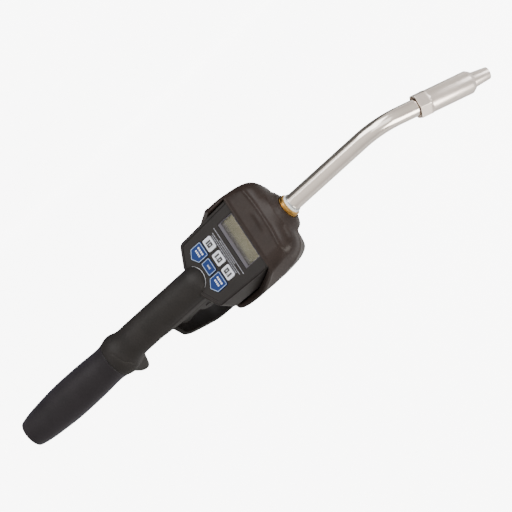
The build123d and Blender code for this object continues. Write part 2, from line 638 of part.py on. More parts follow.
def make_nose_bumper():
    """Thick rubber boot over the lower and front part of the meter."""
    rear_half, front_half = 37.0, 40.0
    half = [(BUMPER_REAR_X, 0), (BUMPER_REAR_X, rear_half), (223, 41.6), (250, BUMPER_HALF_Y),
            (272, BUMPER_HALF_Y), (306, front_half), (BUMPER_FRONT_X, 20), (BUMPER_FRONT_X, 0)]
    other = [(x, -y) for x, y in reversed(half) if y > 0]
    plan = make_face(Polyline(*half, *other, close=True))
    plan = fillet([v for v in plan.vertices() if math.isclose(abs(v.Y), rear_half)], 16.0)
    plan = fillet([v for v in plan.vertices() if math.isclose(abs(v.Y), front_half)], 20.0)
    solid = tapered_body(plan, BUMPER_BOTTOM_Z, BUMPER_TOP_Z)
    solid = fillet(solid.edges().group_by(Axis.Z)[0], 10.0)
    solid = fillet(solid.edges().group_by(Axis.Z)[-1], 7.0)
    neck = turned([(300, 0), (300, 21.0), (BUMPER_FRONT_X - 0.7, 19.8), (312.6, 17.0), (314.4, 14.0),
                   (315.6, 12.9), (315.6, 0)], OUTLET_Z)
    solid += neck
    ridge = cyl_y(-29, 29, 3.2, 297.5, BUMPER_TOP_Z - 1.6)
    ridge = fillet(ridge.edges(), 2.6)
    solid += ridge

    edge = Spline((278.0, 0, 14.0), (276.0, 0, 12.4), (270.5, 0, 8.6), (255, 0, -3.5), (242, 0, -14),
                  (228, 0, -21.5), (215, 0, -25.5), (200, 0, -27.0))
    frame = Polyline(edge @ 1, (190, 0, -27), (190, 0, 40), (278.0, 0, 40), edge @ 0)
    solid -= side_plate([edge, frame], 60)

    solid -= tapered_body(case_face(0.6), CASE_BOTTOM_Z - 0.2, FACE_Z)
    solid -= cyl_x(290, 303.4, OUTLET_BOSS_R + 0.15, OUTLET_Z)
    solid -= cyl_x(290, 330, FITTING_R + 0.1, OUTLET_Z)
    solid -= cyl_x(CASE_FRONT_X, 305.3, FITTING_R + 1.1, OUTLET_Z)
    solid -= block(200, 224, -GUARD_W / 2 - 1, GUARD_W / 2 + 1, -60, -18)
    return solid


# ---- outlet, tube and nozzle --------------------------------------------------------------------

def make_outlet_fitting():
    """Brass fitting with a grooved rim."""
    tube_seat = TUBE_R + SEAT_GAP
    return turned([(TUBE_START_X - 1, 6.4), (TUBE_START_X - 1, FITTING_THREAD_R), (305.2, FITTING_THREAD_R),
                   (305.2, FITTING_R), (315.9, FITTING_R), (316.3, FITTING_R - 0.5), (316.9, FITTING_R - 0.5),
                   (317.3, FITTING_R), (FITTING_END_X - 0.6, FITTING_R), (FITTING_END_X, FITTING_R - 0.6),
                   (FITTING_END_X, tube_seat), (TUBE_START_X, tube_seat), (TUBE_START_X, 6.4)], OUTLET_Z)


def make_extension_tube():
    start = (TUBE_START_X + 0.05, 0, OUTLET_Z)
    bend = JernArc(start=(TUBE_BEND_X, OUTLET_Z), tangent=(1, 0), radius=TUBE_BEND_R, arc_size=-TUBE_BEND_DEG)
    bend = Plane.XZ * bend
    straight = Line(start, bend @ 0)
    tail = Line(bend @ 1, NOZZLE.origin + NOZZLE.z_dir * TUBE_IN_NOZZLE)
    path = Wire([straight, bend, tail])
    ring = Plane(origin=start, z_dir=(1, 0, 0)) * (Circle(TUBE_R) - Circle(TUBE_R - TUBE_WALL))
    return sweep(ring, path)


def nozzle_plane():
    """Plane at the nozzle's rear face, with Z pointing to its tip."""
    turn = math.radians(TUBE_BEND_DEG)
    x = TUBE_BEND_X + TUBE_BEND_R * math.sin(turn) + TUBE_TAIL * math.cos(turn)
    z = OUTLET_Z - TUBE_BEND_R * (1 - math.cos(turn)) - TUBE_TAIL * math.sin(turn)
    return Plane(origin=(x, 0, z), x_dir=(0, 1, 0), z_dir=(math.cos(turn), 0, -math.sin(turn)))


NOZZLE = nozzle_plane()


def lathe(points):
    """Revolve (height, r) points about Z, then put the solid on the nozzle's axis."""
    face = make_face(Polyline(*[(r, 0, h) for h, r in points], close=True))
    return NOZZLE * revolve(face, Axis.Z, 360)


def make_nozzle_adapter():
    seat = TUBE_R + SEAT_GAP
    return lathe([(4.0, seat), (4.0, 8.7), (4.6, 9.2), (8.0, 9.2), (9.0, ADAPTER_R), (24.0, ADAPTER_R),
                  (24.0, 5.0), (TUBE_IN_NOZZLE, 5.0), (TUBE_IN_NOZZLE, seat)])


def make_nozzle_body():
    tip_r, adapter_r = TIP_R + SEAT_GAP, ADAPTER_R + SEAT_GAP
    shoulder = NOZZLE_SHOULDER
    body = revolve(make_face(Polyline(
        (9.9, 0, 0), (11.2, 0, 0), (11.9, 0, 0.7), (11.9, 0, NOZZLE_HEX_LENGTH - 1.0),
        (NOZZLE_R, 0, NOZZLE_HEX_LENGTH + 0.6), (NOZZLE_R, 0, shoulder), (8.3, 0, shoulder + 4.0),
        (tip_r, 0, shoulder + 4.0), (tip_r, 0, 46), (8.3, 0, 46), (8.3, 0, 26), (adapter_r, 0, 25),
        (adapter_r, 0, 9.2), (9.9, 0, 8.0), close=True)), Axis.Z, 360)
    runout_r = 8.0
    for i in range(6):
        flat = block(10.35, 20, -12, 12, -1, NOZZLE_HEX_LENGTH - 3.0)
        flat += cyl_y(-12, 12, runout_r, 10.35 + runout_r, NOZZLE_HEX_LENGTH - 3.0)
        body -= Rot(0, 0, 60 * i) * flat
    return NOZZLE * body


def make_nozzle_tip():
    return lathe([(46.2, 3.6), (46.2, TIP_R), (58.0, TIP_R), (59.0, TIP_R - 0.1), (NOZZLE_LENGTH - 1, 5.7),
                  (NOZZLE_LENGTH, 4.9), (NOZZLE_LENGTH, 3.6)])


def make_nozzle_poppet():
    """Disc with a guide stem; oil pressure pushes it off the adapter's rim."""
    return lathe([(24.15, 0), (24.15, 6.6), (25.0, 7.2), (27.2, 7.2), (27.2, 2.6), (38.0, 2.6), (38.0, 0)])


def make_nozzle_spring():
    return NOZZLE * Pos(0, 0, 27.4) * coil_spring(4.6, 0.55, 15.0, 6)


# ---- write every sub-part -----------------------------------------------------------------------

def main():
    save(make_swivel_boot(), "swivel_boot")
    save(make_hose_swivel(), "hose_swivel")
    save(make_swivel_union(), "swivel_union")
    save(make_swivel_clip(), "swivel_clip")
    seals = [o_ring_x(x, SPIGOT_R - 0.76, 0.78) for x in SEAL_XS]
    save(Compound(children=seals), "swivel_seals")
    save(make_inlet_strainer(), "inlet_strainer")

    save(make_valve_body(), "valve_body")
    save(make_valve_seat(), "valve_seat")
    save(make_valve_stem(), "valve_stem")
    spring_length = CAP_Z - (POPPET_Z + 2.2)
    spring = Pos(VALVE_X, 0, POPPET_Z + 2.2) * coil_spring(3.9, 0.45, spring_length, 4)
    save(spring, "valve_spring")
    save(cyl_z(CAP_Z, CAP_Z + 1.0, VALVE_BORE_R - SEAT_GAP, VALVE_X), "valve_cap")
    save(Pos(VALVE_X, 0, -7.0) * Torus(3.42, 0.8), "stem_seal")
    save(make_stem_gland(), "stem_gland")
    save(make_grip_shell(), "grip_shell")

    save(make_trigger(), "trigger")
    save(make_trigger_pin(), "trigger_pin")
    save(make_trigger_guard(), "trigger_guard")
    save(make_guard_screws(), "guard_screws")

    save(make_meter_case(), "meter_case")
    save(make_bezel_gasket(), "bezel_gasket")
    save(make_bezel(), "bezel")
    save(make_bezel_screws(), "bezel_screws")
    save(make_lcd_window(), "lcd_window")
    save(make_lcd_module(), "lcd_module")
    save(make_circuit_board(), "circuit_board")
    save(make_keypad_mat(), "keypad_mat")
    save(make_battery_cells(), "battery_cells")
    for name, outline in key_outlines().items():
        save(make_key(outline), name)

    save(make_gear_chamber(), "gear_chamber")
    save(make_chamber_seal(), "chamber_seal")
    save(make_chamber_cover(), "chamber_cover")
    save(make_chamber_screws(), "chamber_screws")
    save(make_gear_pins(), "gear_pins")
    for side, letter in ((1, "a"), (-1, "b")):
        save(make_meter_gear(side), f"meter_gear_{letter}")
        save(make_magnets(side), f"gear_magnets_{letter}")
    nut = cyl_x(224.9, 227.9, 8.8, NECK_Z) - cyl_x(222, 229, NECK_R + SEAT_GAP, NECK_Z)
    save(nut, "neck_nut")

    save(make_nose_bumper(), "nose_bumper")
    save(make_outlet_fitting(), "outlet_fitting")
    save(o_ring_x(304.2, 10.6, 0.95, OUTLET_Z), "outlet_seal")
    washer_end = FITTING_END_X + WASHER_T
    tube_hole = cyl_x(300, 330, TUBE_R + SEAT_GAP, OUTLET_Z)
    save(cyl_x(FITTING_END_X, washer_end, 9.1, OUTLET_Z) - tube_hole, "seal_washer")
    save(cyl_x(washer_end, washer_end + 1.6, 8.6, OUTLET_Z) - tube_hole, "tube_ferrule")
    save(make_extension_tube(), "extension_tube")
    save(make_nozzle_adapter(), "nozzle_adapter")
    save(make_nozzle_body(), "nozzle_body")
    save(make_nozzle_tip(), "nozzle_tip")
    save(make_nozzle_poppet(), "nozzle_poppet")
    save(make_nozzle_spring(), "nozzle_spring")


main()
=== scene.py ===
import json
import math
import bmesh
import bpy
import numpy as np
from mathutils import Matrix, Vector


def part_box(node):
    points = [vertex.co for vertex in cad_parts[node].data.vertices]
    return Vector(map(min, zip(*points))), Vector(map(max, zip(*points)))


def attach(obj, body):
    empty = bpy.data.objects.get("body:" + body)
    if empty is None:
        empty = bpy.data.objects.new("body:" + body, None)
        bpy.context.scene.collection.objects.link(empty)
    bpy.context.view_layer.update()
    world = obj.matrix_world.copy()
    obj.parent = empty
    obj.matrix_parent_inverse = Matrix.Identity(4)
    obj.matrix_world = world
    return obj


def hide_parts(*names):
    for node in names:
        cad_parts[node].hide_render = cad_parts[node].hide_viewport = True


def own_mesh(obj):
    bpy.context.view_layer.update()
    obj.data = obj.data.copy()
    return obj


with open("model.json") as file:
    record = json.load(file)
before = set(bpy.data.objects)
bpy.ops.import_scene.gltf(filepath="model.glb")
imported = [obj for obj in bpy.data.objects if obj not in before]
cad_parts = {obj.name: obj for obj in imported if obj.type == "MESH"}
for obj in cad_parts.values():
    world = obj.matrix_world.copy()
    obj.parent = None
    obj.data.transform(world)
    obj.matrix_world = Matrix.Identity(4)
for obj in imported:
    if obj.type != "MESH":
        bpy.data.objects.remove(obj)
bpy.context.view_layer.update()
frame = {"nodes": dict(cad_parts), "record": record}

import openvdb
from mathutils import Matrix, Vector

nodes = frame["nodes"]
MM = 0.001


# ---- places read from the CAD frame, in millimetres ---------------------------------------------

def limits(node):
    """Lowest and highest corner of a CAD node, in millimetres."""
    low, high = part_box(node)
    return [v / MM for v in low], [v / MM for v in high]


GRIP_LOW, GRIP_HIGH = limits("grip_shell")
BUMPER_LOW, BUMPER_HIGH = limits("nose_bumper")
FITTING_LOW, FITTING_HIGH = limits("outlet_fitting")
TUBE_LOW, TUBE_HIGH = limits("extension_tube")
LCD_LOW, LCD_HIGH = limits("lcd_window")

BEZEL_RIM = 0.7                       # height of the bezel's rim over its flat
FACE_Z = limits("bezel")[1][2] - BEZEL_RIM
KEY_TOP = limits("key_units")[1][2]
OUTLET_Z = (FITTING_LOW[2] + FITTING_HIGH[2]) / 2
TUBE_R = TUBE_HIGH[1]
GRIP_R = 15.6
GRIP_Z = 4.4                          # height of the grip's axis; the swivel's axis is at zero
DOME_X = 206.7                        # centre of the grip's round end
VALVE_X = 181.0                       # upright axis of the valve in the grip
GUARD_SCREW_X = 144.0


# ---- camera, light and floor --------------------------------------------------------------------

def set_camera():
    """Long-lens camera, nearly orthographic, that looks down on the display from the nozzle's right."""
    right = Vector((0.6866, -0.5161, -0.5118)).normalized()
    back = Vector((0.380, -0.346, 0.858)).normalized()
    up = back.cross(right).normalized()
    right = up.cross(back)
    distance = 15.0
    view_width = 0.4516
    sensor = 36.0
    target = Vector((0.2485, 0.0, -0.0424))
    data = bpy.data.cameras.new("camera")
    data.sensor_width = sensor
    data.lens = sensor * distance / view_width
    data.clip_end = 100.0
    camera = bpy.data.objects.new("camera", data)
    bpy.context.scene.collection.objects.link(camera)
    turn = Matrix((right, up, back)).transposed().to_4x4()
    camera.matrix_world = Matrix.Translation(target + back * distance) @ turn
    bpy.context.scene.camera = camera
    return right, up, back, target


def add_softbox(name, place, aim, size, watts, colour=(1, 1, 1)):
    """Rectangular light at a place, facing the point it is aimed at."""
    data = bpy.data.lights.new(name, "AREA")
    data.shape = "RECTANGLE"
    data.size, data.size_y = size
    data.energy = watts
    data.color = colour
    lamp = bpy.data.objects.new(name, data)
    bpy.context.scene.collection.objects.link(lamp)
    lamp.location = place
    lamp.rotation_euler = (Vector(place) - Vector(aim)).to_track_quat("Z", "Y").to_euler()


FLOOR_Z = -0.35                       # metres, as all studio sizes are


def set_studio(right, up, back, target):
    """Softboxes, a sky that is paler towards the top, the floor, and cards that shape reflections."""
    add_softbox("softbox_left", target - right * 0.9 + up * 0.9 + back * 0.9, target, (1.5, 1.5), 30)
    add_softbox("softbox_right", target + right * 1.2 - up * 0.5 + back * 0.8, target, (0.7, 1.2), 24,
                (1.0, 0.95, 0.88))
    add_softbox("softbox_top", target + up * 0.5 + back * 1.8, target, (1.2, 1.2), 6)
    add_softbox("softbox_front", target + right * 0.9 + up * 1.0 + back * 0.35, target, (0.5, 0.5), 5)

    world = bpy.data.worlds.new("studio")
    bpy.context.scene.world = world
    world.use_nodes = True
    tree = world.node_tree
    coords = tree.nodes.new("ShaderNodeTexCoord")
    split = tree.nodes.new("ShaderNodeSeparateXYZ")
    tree.links.new(coords.outputs["Generated"], split.inputs["Vector"])
    sky = tree.nodes.new("ShaderNodeValToRGB")
    sky.color_ramp.elements[0].position = 0.45
    sky.color_ramp.elements[0].color = (0.55, 0.52, 0.49, 1)
    sky.color_ramp.elements[1].position = 0.95
    sky.color_ramp.elements[1].color = (1.0, 0.955, 0.90, 1)
    height = tree.nodes.new("ShaderNodeMapRange")
    height.inputs["From Min"].default_value = -1.0
    tree.links.new(split.outputs["Z"], height.inputs["Value"])
    tree.links.new(height.outputs["Result"], sky.inputs["Fac"])
    tree.links.new(sky.outputs["Color"], tree.nodes["Background"].inputs["Color"])
    tree.nodes["Background"].inputs["Strength"].default_value = 1.15

    floor = add_card("floor", (0.25, 0, FLOOR_Z), (12, 12), 0.93, 7.0)
    floor.visible_diffuse = False
    floor.visible_glossy = False
    bounce = add_card("floor_bounce", (0.25, 0, FLOOR_Z - 0.001), (12, 12), 0.5, 0.26)
    bounce.visible_camera = False
    flag = add_card("black_flag", (0.12, 0.30, -0.05), (0.72, 0.58), 0.02, 0.07, turn_deg=(90, 0, 0))
    flag.visible_camera = False
    flag.visible_shadow = False


def add_card(name, place, size, grey, glow, turn_deg=(0, 0, 0)):
    """Plain studio card: floor paper, bounce board or black flag."""
    turn = [math.radians(v) for v in turn_deg]
    bpy.ops.mesh.primitive_plane_add(size=1, location=place, rotation=turn)
    card = bpy.context.object
    card.name = name
    card.scale = (*size, 1)
    mat = bpy.data.materials.new(name + "_paper")
    mat.use_nodes = True
    shader = mat.node_tree.nodes["Principled BSDF"]
    shader.inputs["Base Color"].default_value = (grey, grey, grey, 1)
    shader.inputs["Roughness"].default_value = 0.9
    shader.inputs["Emission Color"].default_value = (1, 1, 1, 1)
    shader.inputs["Emission Strength"].default_value = glow
    card.data.materials.append(mat)
    return card


# ---- materials ----------------------------------------------------------------------------------

SOFT_SPECULAR = 0.2                   # specular level of the dark plastics and rubbers


def material(name, colour, roughness, metallic=0.0, spread=0.15, grain=900.0, bump=0.1,
             bump_mm=0.05, rough_spread=0.08, stretch=(1, 1, 1), **sockets):
    """Principled material with mottled colour, uneven gloss and a fine grain, in object space."""
    mat = bpy.data.materials.new(name)
    mat.use_nodes = True
    tree = mat.node_tree
    shader = tree.nodes["Principled BSDF"]
    shader.inputs["Metallic"].default_value = metallic
    for key, value in sockets.items():
        shader.inputs[key.replace("_", " ")].default_value = value

    coords = tree.nodes.new("ShaderNodeTexCoord")
    mapping = tree.nodes.new("ShaderNodeMapping")
    mapping.inputs["Scale"].default_value = stretch
    tree.links.new(coords.outputs["Object"], mapping.inputs["Vector"])

    blotch = tree.nodes.new("ShaderNodeTexNoise")
    blotch.inputs["Scale"].default_value = 60.0
    blotch.inputs["Detail"].default_value = 5.0
    tree.links.new(mapping.outputs["Vector"], blotch.inputs["Vector"])
    ramp = tree.nodes.new("ShaderNodeValToRGB")
    ramp.color_ramp.elements[0].position = 0.3
    ramp.color_ramp.elements[1].position = 0.7
    ramp.color_ramp.elements[0].color = (*[c * (1 - spread) for c in colour], 1)
    ramp.color_ramp.elements[1].color = (*[min(1, c * (1 + spread)) for c in colour], 1)
    tree.links.new(blotch.outputs["Fac"], ramp.inputs["Fac"])
    tree.links.new(ramp.outputs["Color"], shader.inputs["Base Color"])

    gloss = tree.nodes.new("ShaderNodeMapRange")
    gloss.inputs["To Min"].default_value = max(0.02, roughness - rough_spread)
    gloss.inputs["To Max"].default_value = roughness + rough_spread
    tree.links.new(blotch.outputs["Fac"], gloss.inputs["Value"])
    tree.links.new(gloss.outputs["Result"], shader.inputs["Roughness"])

    fine = tree.nodes.new("ShaderNodeTexNoise")
    fine.inputs["Scale"].default_value = grain
    fine.inputs["Detail"].default_value = 2.0
    tree.links.new(mapping.outputs["Vector"], fine.inputs["Vector"])
    relief = tree.nodes.new("ShaderNodeBump")
    relief.inputs["Strength"].default_value = bump
    relief.inputs["Distance"].default_value = bump_mm * MM
    tree.links.new(fine.outputs["Fac"], relief.inputs["Height"])
    tree.links.new(relief.outputs["Normal"], shader.inputs["Normal"])
    return mat


def shade_across(mat, start, end, stops):
    """Recolour a material in bands along X, from stops of (position, colour), and keep its mottling."""
    mottle_share = 0.15
    tree = mat.node_tree
    shader = tree.nodes["Principled BSDF"]
    mottle = shader.inputs["Base Color"].links[0].from_socket
    coords = tree.nodes.new("ShaderNodeTexCoord")
    split = tree.nodes.new("ShaderNodeSeparateXYZ")
    tree.links.new(coords.outputs["Object"], split.inputs["Vector"])
    place = tree.nodes.new("ShaderNodeMapRange")
    place.inputs["From Min"].default_value = start
    place.inputs["From Max"].default_value = end
    tree.links.new(split.outputs["X"], place.inputs["Value"])
    bands = tree.nodes.new("ShaderNodeValToRGB")
    ramp = bands.color_ramp.elements
    ramp[0].color = (*stops[0][1], 1)
    ramp[1].color = (*stops[-1][1], 1)
    for position, colour in stops[1:-1]:
        ramp.new(position).color = (*colour, 1)
    tree.links.new(place.outputs["Result"], bands.inputs["Fac"])
    blend = tree.nodes.new("ShaderNodeMix")
    blend.data_type = "RGBA"
    blend.inputs["Factor"].default_value = mottle_share
    tree.links.new(bands.outputs["Color"], blend.inputs["A"])
    tree.links.new(mottle, blend.inputs["B"])
    tree.links.new(blend.outputs["Result"], shader.inputs["Base Color"])


# The dark purple-grey bands on the keys' side are painted shade of the window's recess; the middle is
# the display's olive tint, darker again at the far end.
LCD_TINT_AND_SHADE_BANDS = (                         # place along the display, from the keys' side, and colour
    (0.0, (0.050, 0.046, 0.058)), (0.30, (0.085, 0.078, 0.086)), (0.42, (0.150, 0.144, 0.112)),
    (0.9, (0.190, 0.172, 0.128)), (1.0, (0.120, 0.112, 0.090)))


def make_materials():
    """All materials, by the short names used below."""
    m = {}
    m["boot"] = material("boot_rubber", (0.013, 0.011, 0.013), 0.5, bump=0.3, grain=1500,
                         bump_mm=0.06, Sheen_Weight=0.12, Sheen_Roughness=0.4,
                         Sheen_Tint=(0.6, 0.62, 0.9, 1), Specular_IOR_Level=SOFT_SPECULAR)
    m["grip"] = material("grip_plastic", (0.0145, 0.013, 0.0125), 0.55, bump=0.35, grain=1800,
                         bump_mm=0.06, Specular_IOR_Level=SOFT_SPECULAR)
    m["bumper"] = material("bumper_rubber", (0.021, 0.0145, 0.0125), 0.34, bump=0.2, grain=1600,
                           bump_mm=0.04, Specular_IOR_Level=SOFT_SPECULAR)
    m["case"] = material("case_plastic", (0.012, 0.0102, 0.0096), 0.45, bump=0.25, grain=1800,
                         bump_mm=0.05, Specular_IOR_Level=SOFT_SPECULAR)
    m["black"] = material("black_nylon", (0.007, 0.006, 0.006), 0.45, bump=0.3, grain=1800,
                          bump_mm=0.05, Specular_IOR_Level=SOFT_SPECULAR)
    m["paint"] = material("black_powder_coat", (0.009, 0.008, 0.008), 0.45, bump=0.4, grain=1200,
                          bump_mm=0.08, Specular_IOR_Level=SOFT_SPECULAR)
    m["brass"] = material("turned_brass", (0.56, 0.32, 0.085), 0.22, 1.0, spread=0.12,
                          stretch=(12, 1, 1), bump=0.25, bump_mm=0.03)
    m["tube"] = material("bright_tube", (0.94, 0.86, 0.785), 0.15, 1.0, spread=0.04,
                         rough_spread=0.03, grain=700, bump=0.05, bump_mm=0.02)
    m["nozzle"] = material("nozzle_nickel", (0.90, 0.81, 0.745), 0.31, 1.0, spread=0.05, grain=1400,
                           bump=0.2, bump_mm=0.02)
    m["zinc"] = material("zinc_plate", (0.62, 0.64, 0.65), 0.28, 1.0, spread=0.1, bump=0.2,
                         bump_mm=0.03)
    m["steel"] = material("stainless", (0.55, 0.55, 0.56), 0.3, 1.0, spread=0.08, bump=0.2,
                          bump_mm=0.02)
    m["seal"] = material("seal_rubber", (0.012, 0.012, 0.012), 0.5, bump=0.2)
    m["white"] = material("white_nylon", (0.80, 0.82, 0.82), 0.35, spread=0.04, bump=0.15,
                          Subsurface_Weight=0.1)
    m["acetal"] = material("acetal", (0.75, 0.72, 0.62), 0.4, spread=0.05)
    m["aluminium"] = material("machined_aluminium", (0.70, 0.70, 0.72), 0.32, 1.0, spread=0.06,
                              stretch=(1, 8, 1), bump=0.3, bump_mm=0.03)
    m["gear"] = material("gear_polymer", (0.05, 0.05, 0.055), 0.45)
    m["board"] = material("circuit_laminate", (0.02, 0.16, 0.06), 0.35, spread=0.3, grain=400,
                          bump=0.3)
    m["cell"] = material("battery_sleeve", (0.06, 0.06, 0.07), 0.3, spread=0.3)
    m["lcd"] = material("lcd_glass", (0.20, 0.20, 0.15), 0.4, bump=0.0, Specular_IOR_Level=0.1)
    # paints the shade of the window's recess into the display's colour, in bands along X
    shade_across(m["lcd"], LCD_LOW[0] * MM, LCD_HIGH[0] * MM, LCD_TINT_AND_SHADE_BANDS)
    m["key_white"] = material("key_light_grey", (0.50, 0.52, 0.58), 0.42, spread=0.05, bump=0.2)
    m["key_blue"] = material("key_blue", (0.003, 0.022, 0.115), 0.45, spread=0.08, bump=0.2,
                             Specular_IOR_Level=SOFT_SPECULAR)
    m["print_light"] = material("print_white", (0.66, 0.69, 0.78), 0.5, spread=0.06)
    m["print_dark"] = material("print_black", (0.02, 0.02, 0.022), 0.5, spread=0.1)
    m["print_faint"] = material("print_grey", (0.26, 0.27, 0.31), 0.5, spread=0.1)
    m["print_blue"] = material("print_pale_blue", (0.36, 0.47, 0.66), 0.45, spread=0.06)
    # dark mask colour, also used for the painted shade of the window's recess next to the keys
    m["mask_and_shade"] = material("display_mask_and_shade", (0.052, 0.047, 0.060), 0.35, spread=0.15)
    m["silver"] = material("silver_line", (0.36, 0.37, 0.40), 0.35, 1.0, spread=0.1)
    m["window"] = material("window_clear", (0.95, 0.95, 0.92), 0.08, spread=0.03,
                           rough_spread=0.02, bump=0.0, Specular_IOR_Level=SOFT_SPECULAR,
                           Transmission_Weight=1.0, IOR=1.2)
    return m


SLOT_MATERIALS = {
    "boot_rubber": "boot", "bumper_rubber": "bumper", "grip_plastic": "grip", "guard_plastic": "black",
    "black_paint": "paint", "case_plastic": "case", "zinc_steel": "zinc", "bright_tube": "tube",
    "nozzle_nickel": "nozzle", "stainless": "steel", "brass": "brass", "seal_rubber": "seal",
    "white_nylon": "white", "seat_plastic": "acetal", "machined_aluminium": "aluminium",
    "gear_plastic": "gear", "magnet": "steel", "window_clear": "window", "lcd_glass": "lcd",
    "board": "board", "battery": "cell", "key_white": "key_white", "key_blue": "key_blue",
}


def dress_cad_nodes():
    """Give every carried-over CAD node the material of its slot; two metal ones are painted instead."""
    for part in frame["record"]["subparts"]:
        mesh = nodes[part["node"]].data
        mesh.materials.clear()
        mesh.materials.append(mats[SLOT_MATERIALS[part["material_slot"]]])
    for node in ("trigger_pin", "valve_body"):
        nodes[node].data.materials[0] = mats["paint"]


def squash_valve_spring():
    """Give the valve spring a mesh of its own; in the meter the spring is pressed against its upper end
    as the trigger lifts the valve stem, but nothing here presses it.
    """
    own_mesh(nodes["valve_spring"])


# ---- mesh helpers -------------------------------------------------------------------------------

def piece(name, points, faces, mat, slot, replaces=(), body="housing", sharp_deg=40):
    """One object from points in millimetres, riding on a CAD body."""
    mesh = bpy.data.meshes.new(name)
    mesh.from_pydata((np.asarray(points, float) * MM).tolist(), [], faces)
    solid = bmesh.new()
    solid.from_mesh(mesh)
    bmesh.ops.recalc_face_normals(solid, faces=solid.faces)
    solid.to_mesh(mesh)
    solid.free()
    mesh.shade_smooth()
    mesh.set_sharp_from_angle(angle=math.radians(sharp_deg))
    mesh.materials.append(mats[mat])
    obj = bpy.data.objects.new(name, mesh)
    bpy.context.scene.collection.objects.link(obj)
    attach(obj, body)
    if replaces:
        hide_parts(*replaces)
    return obj


def ring_faces(rings, around, closed):
    """Quads joining successive rings of points; closed joins the last ring to the first."""
    faces = []
    for i in range(rings if closed else rings - 1):
        for j in range(around):
            a, b = i * around, (i + 1) % rings * around
            faces.append((a + j, a + (j + 1) % around, b + (j + 1) % around, b + j))
    return faces


def turned(profile, axis_z=0.0, around=128):
    """Closed (x, r) profile revolved about a line along X."""
    angles = np.linspace(0, 2 * math.pi, around, endpoint=False)
    points = [(x, r * math.cos(a), axis_z + r * math.sin(a)) for x, r in profile for a in angles]
    return points, ring_faces(len(profile), around, True)


def spline(points, steps):
    """Catmull-Rom curve through the points, end to end."""
    p = np.asarray(points, float)
    p = np.vstack([2 * p[0] - p[1], p, 2 * p[-1] - p[-2]])
    out = []
    for i in range(1, len(p) - 2):
        for t in np.arange(steps) / steps:
            a, b, c, d = p[i - 1:i + 3]
            out.append(0.5 * (2 * b + (c - a) * t + (2 * a - 5 * b + 4 * c - d) * t * t
                              + (3 * b - a - 3 * c + d) * t ** 3))
    return [tuple(q) for q in out] + [tuple(p[-2])]


def mirrored(half):
    """Half outline from (x, 0) round to (x, 0), closed with its mirror image in y."""
    return list(half) + [(x, -y) for x, y in half[::-1] if y > 1e-6]


# ---- distance fields for the moulded pieces, in millimetres -------------------------------------

def ease(v, a, b):
    """Smooth step from 0 at a to 1 at b."""
    t = np.clip((v - a) / (b - a), 0, 1)
    return t * t * (3 - 2 * t)


def smooth_min(a, b, k):
    """Union of two distances, blended over a width k."""
    h = np.clip(0.5 + 0.5 * (b - a) / k, 0, 1)
    return b + (a - b) * h - k * h * (1 - h)


def smooth_max(a, b, k):
    """Overlap of two distances, blended over a width k."""
    return -smooth_min(-a, -b, k)


def rounded_cut(a, b, r):
    """Overlap of two distances with an edge of radius r."""
    a, b = a + r, b + r
    corner = np.sqrt(np.maximum(a, 0) ** 2 + np.maximum(b, 0) ** 2)
    return corner + np.minimum(np.maximum(a, b), 0) - r


def outline_distance(x, y, outline):
    """Signed distance in the plane to a closed outline, negative inside."""
    nearest = np.full(np.broadcast(x, y).shape, 1e9)
    inside = np.zeros(nearest.shape, bool)
    for (x0, y0), (x1, y1) in zip(outline, outline[1:] + outline[:1]):
        dx, dy = x1 - x0, y1 - y0
        t = np.clip(((x - x0) * dx + (y - y0) * dy) / (dx * dx + dy * dy), 0, 1)
        nearest = np.minimum(nearest, (x - x0 - t * dx) ** 2 + (y - y0 - t * dy) ** 2)
        if dy:
            inside ^= ((y0 > y) != (y1 > y)) & (x < x0 + (y - y0) * dx / dy)
    return np.where(inside, -1, 1) * np.sqrt(nearest)


def cylinder_x(x, y, z, r, axis_z, x0, x1):
    """Distance to a cylinder along X between two ends."""
    return np.maximum(np.sqrt(y ** 2 + (z - axis_z) ** 2) - r, np.maximum(x0 - x, x - x1))


def hole_z(x, y, z, r, axis_x, z1):
    """Distance to an upright hole that is open below and ends at z1."""
    return np.maximum(np.sqrt((x - axis_x) ** 2 + y ** 2) - r, z - z1)


def block(x, y, z, x0, x1, half_y, z0, z1):
    """Distance to a box that is centred across Y."""
    across = np.maximum(np.abs(y) - half_y, np.maximum(z0 - z, z - z1))
    return np.maximum(np.maximum(x0 - x, x - x1), across)


def sculpt(field, low, high, step):
    """Points and faces of a distance field's zero surface."""
    axes = [np.arange(a - 2 * step, b + 3 * step, step) for a, b in zip(low, high)]
    x, y, z = np.meshgrid(*axes, indexing="ij", sparse=True)
    grid = openvdb.FloatGrid(9.0)
    grid.copyFromArray(np.ascontiguousarray(field(x, y, z), np.float32))
    points, triangles, quads = grid.convertToPolygons(isovalue=0.0, adaptivity=0.0)
    points = points * step + np.array([a[0] for a in axes])
    return points, triangles.tolist() + quads.tolist()


# ---- rubber bumper over the nose ----------------------------------------------------------------

BREAK_Z = -12.0                       # the sides taper inwards below this level
TAPER = math.tan(math.radians(20))
LIP_X = 277.0                         # rear edge of the bumper where it crosses the face
RIDGE_X = 301.6                       # front of the raised band, on the middle line
BUMPER_TOP_Z = 15.0
NECK_X = 315.6                        # front end of the neck round the outlet
CASE_GAP = 0.8                        # between the case and the bumper's inside
BUMPER_PLAN = mirrored(spline(
    [(208, 0), (208, 20), (209.4, 32), (214, 38), (224, 41.4), (237, 42.8), (250, 43.4), (262, 43.5),
     (271, 43.4), (282, 42.6), (293, 41.2), (300.5, 39.4), (305, 36.6), (308.6, 32), (310.6, 26.5),
     (311.6, 20), (312.0, 10), (312.0, 0)], 4))
CASE_PLAN = mirrored(
    [(207.5, 0), (207.5, 15.5), (215, 31.0), (217.3, 34.0), (221, 35.0), (226, 35.3), (276, 37.4),
     (289, 37.2), (294, 35.6), (298, 31.6), (301, 26), (302.6, 18), (303, 10), (303, 0)])


